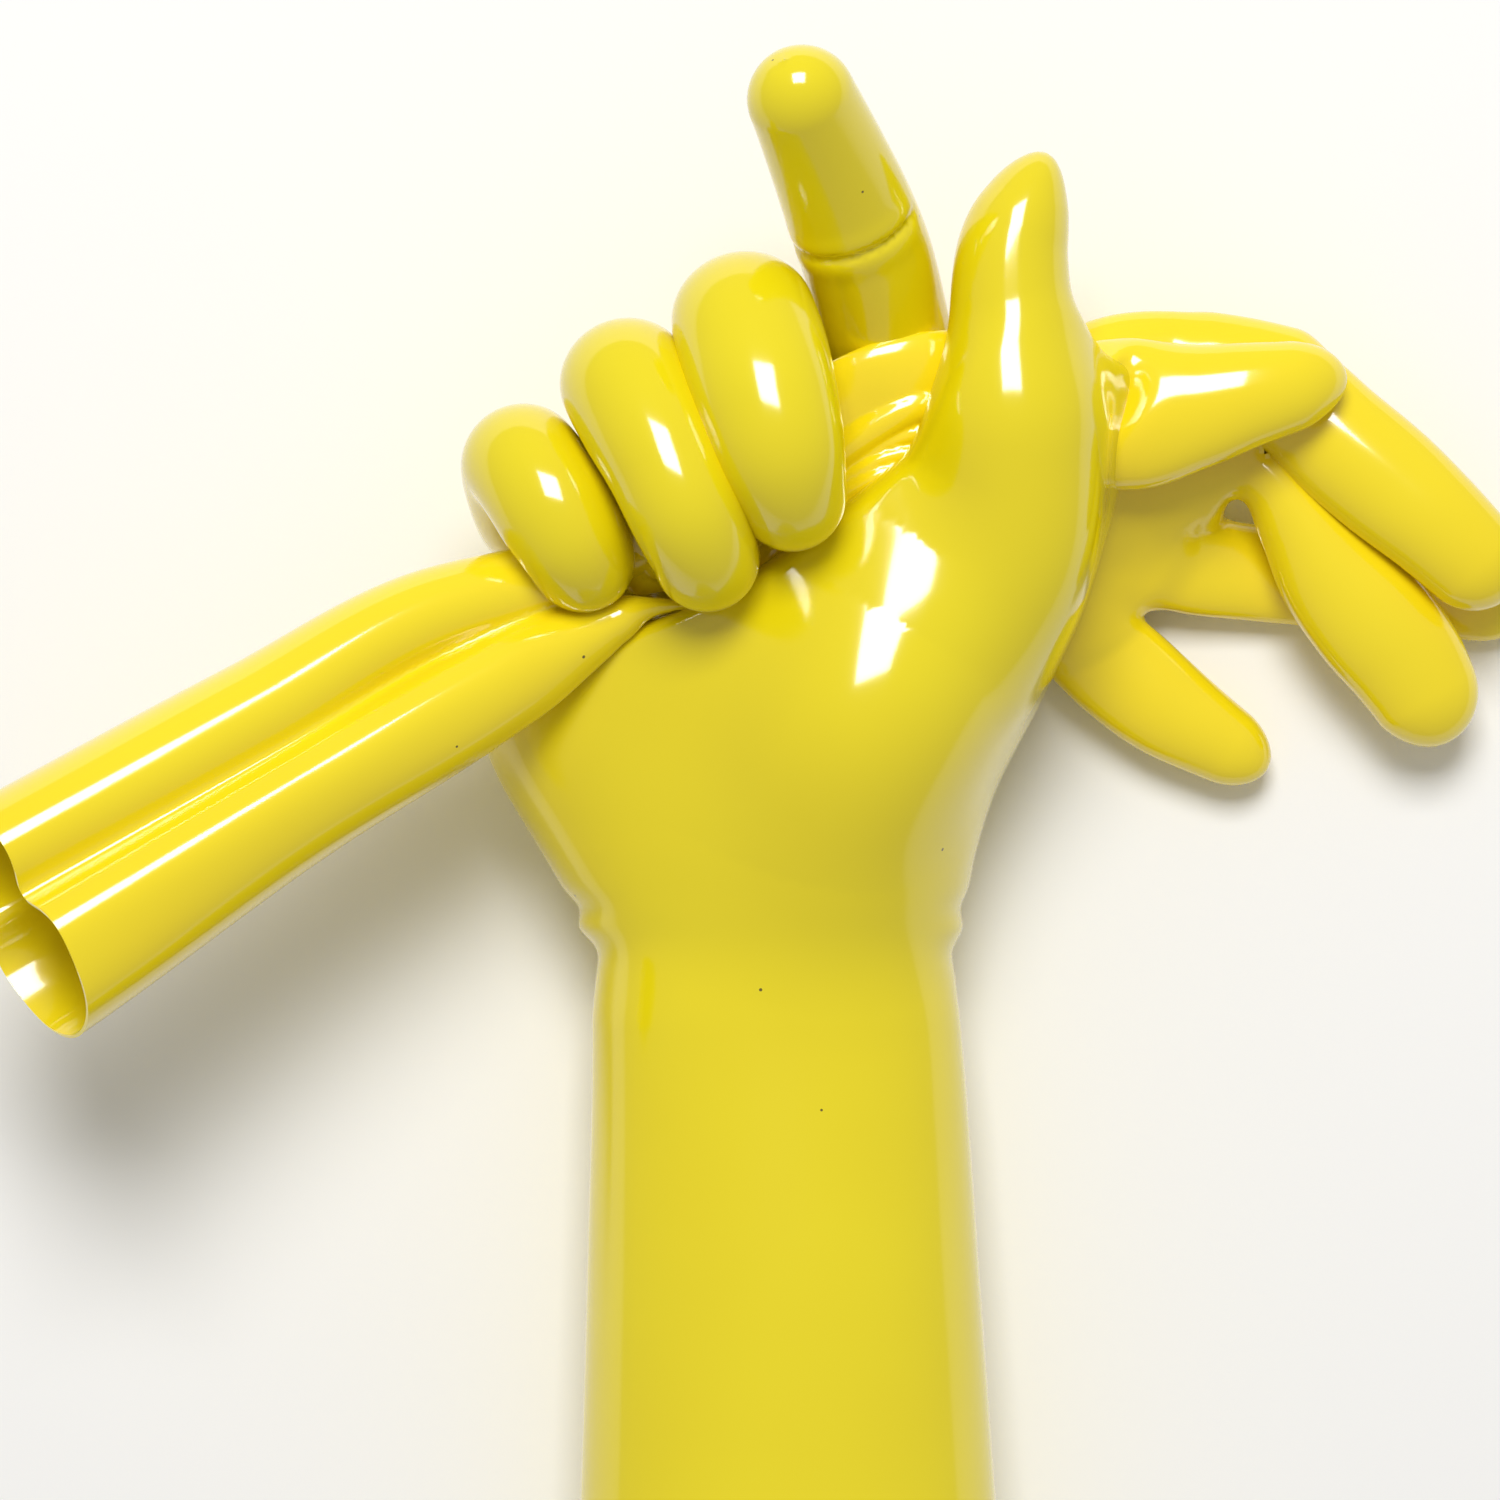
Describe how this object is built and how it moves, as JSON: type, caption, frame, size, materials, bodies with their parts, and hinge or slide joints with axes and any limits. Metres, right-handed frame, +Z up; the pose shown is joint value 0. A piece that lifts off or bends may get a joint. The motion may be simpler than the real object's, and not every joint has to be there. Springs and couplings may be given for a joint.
{
  "type": "rubber gloves",
  "caption": "Thin dipped rubber household gloves: one filled in the shape of a right hand that grips the other by its bunched waist.",
  "frame": {"origin": "on the table under the filled glove's wrist fold", "axes": "+X towards the thumb's side of the filled glove, +Y along the filled glove from its cut sleeve to its fingers, +Z up from the table that both gloves lie on"},
  "size_m": [0.2827, 0.282, 0.0881],
  "materials": {
    "filled_latex": "smooth glossy dipped latex, stretched over its form",
    "empty_latex": "smooth glossy dipped latex, slack and folded"
  },
  "bodies": {
    "worn_sleeve": {"worn_sleeve": "filled_latex"},
    "worn_palm": {"worn_palm": "filled_latex", "held_waist": "empty_latex"},
    "worn_thumb_base": {"worn_thumb_base": "filled_latex"},
    "worn_thumb_tip": {"worn_thumb_tip": "filled_latex"},
    "worn_index_base": {"worn_index_base": "filled_latex"},
    "worn_index_tip": {"worn_index_tip": "filled_latex"},
    "worn_middle_base": {"worn_middle_base": "filled_latex"},
    "worn_middle_tip": {"worn_middle_tip": "filled_latex"},
    "worn_ring_base": {"worn_ring_base": "filled_latex"},
    "worn_ring_tip": {"worn_ring_tip": "filled_latex"},
    "worn_little_base": {"worn_little_base": "filled_latex"},
    "worn_little_tip": {"worn_little_tip": "filled_latex"},
    "held_sleeve": {"held_sleeve": "empty_latex"},
    "held_palm": {"held_palm": "empty_latex"},
    "held_thumb": {"held_thumb": "empty_latex"},
    "held_index": {"held_index": "empty_latex"},
    "held_middle": {"held_middle": "empty_latex"},
    "held_ring": {"held_ring": "empty_latex"},
    "held_little": {"held_little": "empty_latex"}
  },
  "joints": [
    {"name": "wrist_bend", "type": "hinge", "parent": "worn_sleeve", "child": "worn_palm", "pos_m": [0, 0.003, 0.0222], "axis": [1, 0, 0], "range_deg": [0, 45], "stiffness_Nm_per_rad": 2},
    {"name": "thumb_swing", "type": "hinge", "parent": "worn_palm", "child": "worn_thumb_base", "pos_m": [0.045, 0.076, 0.051], "axis": [0, 0, 1], "range_deg": [-11, 1], "stiffness_Nm_per_rad": 0.06},
    {"name": "thumb_tip_bend", "type": "hinge", "parent": "worn_thumb_base", "child": "worn_thumb_tip", "pos_m": [0.04338, 0.10696, 0.051], "axis": [0, 0, 1], "range_deg": [-8, 11], "stiffness_Nm_per_rad": 0.012},
    {"name": "index_knuckle", "type": "hinge", "parent": "worn_palm", "child": "worn_index_base", "pos_m": [0.02451, 0.0868, 0.02], "axis": [0.9588, 0.284, 0], "range_deg": [-33, 2], "stiffness_Nm_per_rad": 0.09},
    {"name": "index_middle", "type": "hinge", "parent": "worn_index_base", "child": "worn_index_tip", "pos_m": [0.01443, 0.12081, 0.05083], "axis": [0.9588, 0.284, 0], "range_deg": [-5.5, 54.5], "stiffness_Nm_per_rad": 0.04},
    {"name": "middle_knuckle", "type": "hinge", "parent": "worn_palm", "child": "worn_middle_base", "pos_m": [0.0004, 0.088, 0.016], "axis": [0.9659, 0.2588, 0], "range_deg": [-52, 0], "stiffness_Nm_per_rad": 0.06},
    {"name": "middle_middle", "type": "hinge", "parent": "worn_middle_base", "child": "worn_middle_tip", "pos_m": [-0.00465, 0.10686, 0.05985], "axis": [0.9659, 0.2588, 0], "range_deg": [-66, 0], "stiffness_Nm_per_rad": 0.02},
    {"name": "ring_knuckle", "type": "hinge", "parent": "worn_palm", "child": "worn_ring_base", "pos_m": [-0.01742, 0.07994, 0.016], "axis": [0.9205, 0.3907, 0], "range_deg": [-53, 0], "stiffness_Nm_per_rad": 0.06},
    {"name": "ring_middle", "type": "hinge", "parent": "worn_ring_base", "child": "worn_ring_tip", "pos_m": [-0.02429, 0.09612, 0.05742], "axis": [0.9205, 0.3907, 0], "range_deg": [-62, 0], "stiffness_Nm_per_rad": 0.02},
    {"name": "little_knuckle", "type": "hinge", "parent": "worn_palm", "child": "worn_little_base", "pos_m": [-0.03631, 0.06981, 0.015], "axis": [0.891, 0.454, 0], "range_deg": [-54, 0], "stiffness_Nm_per_rad": 0.05},
    {"name": "little_middle", "type": "hinge", "parent": "worn_little_base", "child": "worn_little_tip", "pos_m": [-0.04294, 0.08282, 0.05116], "axis": [0.891, 0.454, 0], "range_deg": [-37, 0], "stiffness_Nm_per_rad": 0.015},
    {"name": "held_sleeve_swing", "type": "hinge", "parent": "worn_palm", "child": "held_sleeve", "pos_m": [-0.037, 0.058, 0.046], "axis": [-0.5075, 0.8616, 0], "range_deg": [-6, 22], "stiffness_Nm_per_rad": 0.6},
    {"name": "held_hand_lift", "type": "hinge", "parent": "worn_palm", "child": "held_palm", "pos_m": [0.049, 0.089, 0.025], "axis": [-0.1736, -0.9848, 0], "range_deg": [-10, 9], "stiffness_Nm_per_rad": 0.4},
    {"name": "held_thumb_lift", "type": "hinge", "parent": "held_palm", "child": "held_thumb", "pos_m": [0.065, 0.098, 0.032], "axis": [-0.0349, -0.9994, 0], "range_deg": [0, 20], "stiffness_Nm_per_rad": 0.02},
    {"name": "held_index_lift", "type": "hinge", "parent": "held_palm", "child": "held_index", "pos_m": [0.098, 0.098, 0.02], "axis": [-0.7254, -0.6884, 0], "range_deg": [-2, 25], "stiffness_Nm_per_rad": 0.04},
    {"name": "held_middle_lift", "type": "hinge", "parent": "held_palm", "child": "held_middle", "pos_m": [0.09, 0.08, 0.0176], "axis": [-0.8192, -0.5736, 0], "range_deg": [0, 25], "stiffness_Nm_per_rad": 0.04},
    {"name": "held_ring_lift", "type": "hinge", "parent": "held_palm", "child": "held_ring", "pos_m": [0.087, 0.0635, 0.0048], "axis": [-0.1392, -0.9903, 0], "range_deg": [-1, 2], "stiffness_Nm_per_rad": 0.03},
    {"name": "held_little_lift", "type": "hinge", "parent": "held_palm", "child": "held_little", "pos_m": [0.067, 0.05, 0.009], "axis": [-0.5878, -0.809, 0], "range_deg": [-3, 40], "stiffness_Nm_per_rad": 0.02}
  ]
}
